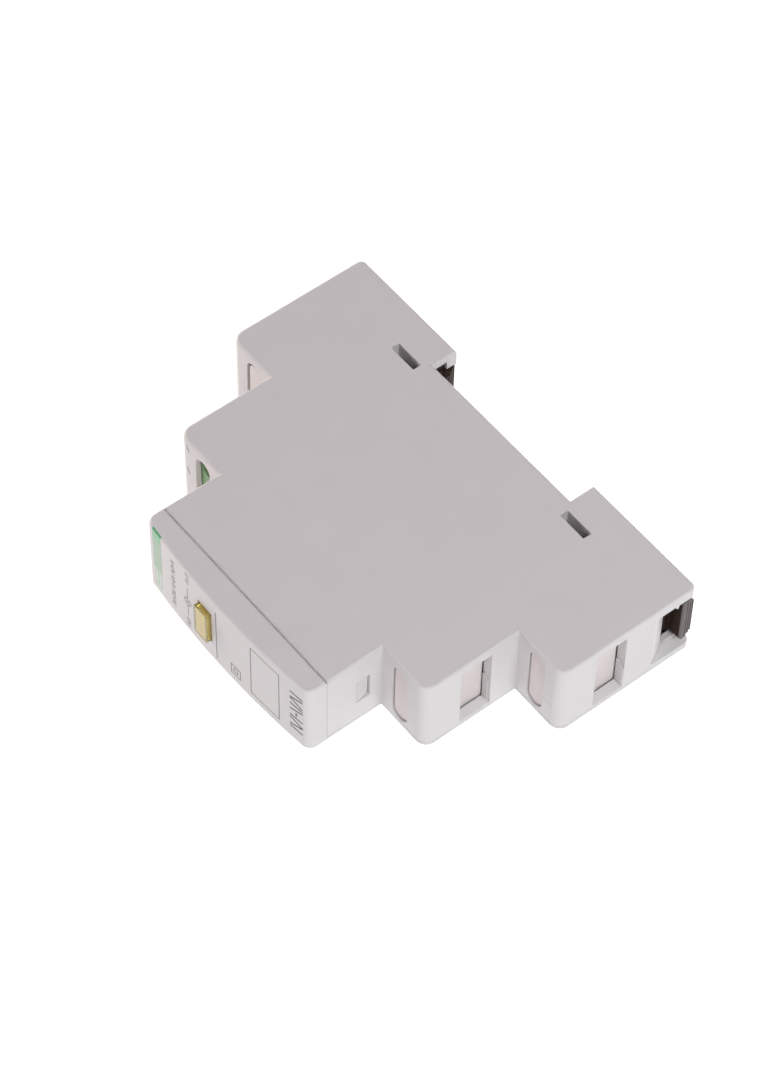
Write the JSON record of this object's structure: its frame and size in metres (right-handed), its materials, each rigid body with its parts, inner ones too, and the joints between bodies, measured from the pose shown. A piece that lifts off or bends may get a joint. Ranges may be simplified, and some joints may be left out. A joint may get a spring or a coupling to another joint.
{
  "type": "din rail indicator lamp",
  "caption": "Stepped one-module DIN rail LED indicator lamp with a raised yellow lens, front terminals, blanked bays and two sprung rail latches.",
  "frame": {"origin": "centre of the bounding box's bottom face: the module lies on its left side face, which is at Z = 0", "axes": "+X from the module's top end to its bottom end, +Y from the front panel to the rail, +Z from the left side face to the right side face (module width)"},
  "size_m": [0.09, 0.0662, 0.0175],
  "materials": {
    "casing": "light grey, fine moulded matt",
    "blank": "off-white, matt",
    "latch": "dark brown, satin",
    "lens": "translucent yellow, polished",
    "led": "tinted epoxy",
    "terminal_plastic": "green, satin",
    "black_plastic": "black, satin",
    "board": "green solder mask",
    "capacitor_case": "red case",
    "capacitor_sleeve": "dark blue sleeve",
    "resistor_coat": "beige coating",
    "resistor_film_coat": "light blue coating",
    "zinc_plate": "zinc-plated steel",
    "tinned_copper": "tinned copper"
  },
  "bodies": {
    "casing": {"case_main_shell": "casing", "case_side_cover": "casing", "front_cover": "casing", "indicator_lens": "lens", "led": "led", "led_holder": "black_plastic", "circuit_board": "board", "dropper_capacitor": "capacitor_case", "bridge_rectifier": "black_plastic", "smoothing_capacitor": "capacitor_sleeve", "series_resistor": "resistor_coat", "bleed_resistor": "resistor_film_coat", "terminal_block": "terminal_plastic", "terminal_contact_1": "tinned_copper", "terminal_contact_2": "tinned_copper", "blank_top_rear": "blank", "blank_bottom_front": "blank", "blank_bottom_rear": "blank"},
    "latch_top": {"rail_latch_top": "latch"},
    "latch_bottom": {"rail_latch_bottom": "latch"},
    "screw_1": {"terminal_screw_1": "zinc_plate"},
    "screw_2": {"terminal_screw_2": "zinc_plate"},
    "cage_1": {"clamp_cage_1": "zinc_plate"},
    "cage_2": {"clamp_cage_2": "zinc_plate"}
  },
  "joints": [
    {"name": "latch_top_slide", "type": "slide", "parent": "casing", "child": "latch_top", "axis": [-1, 0, 0], "range_m": [0, 0.004], "stiffness_N_per_m": 1500, "springref_m": -0.002},
    {"name": "latch_bottom_slide", "type": "slide", "parent": "casing", "child": "latch_bottom", "axis": [1, 0, 0], "range_m": [0, 0.004], "stiffness_N_per_m": 1500, "springref_m": -0.002},
    {"name": "screw_1_turn", "type": "hinge", "parent": "casing", "child": "screw_1", "pos_m": [-0.0271, -0.0124, 0.01215], "axis": [0, 1, 0], "range_deg": [0, 2160]},
    {"name": "screw_2_turn", "type": "hinge", "parent": "casing", "child": "screw_2", "pos_m": [-0.0271, -0.0124, 0.00535], "axis": [0, 1, 0], "range_deg": [0, 2160]},
    {"name": "cage_1_rise", "type": "slide", "parent": "casing", "child": "cage_1", "axis": [0, -1, 0], "range_m": [0, 0.003]},
    {"name": "cage_2_rise", "type": "slide", "parent": "casing", "child": "cage_2", "axis": [0, -1, 0], "range_m": [0, 0.003]}
  ],
  "couplings": [
    {"joint": "screw_1_turn", "follows": "cage_1_rise", "rad_per_m": 12566},
    {"joint": "screw_2_turn", "follows": "cage_2_rise", "rad_per_m": 12566}
  ]
}
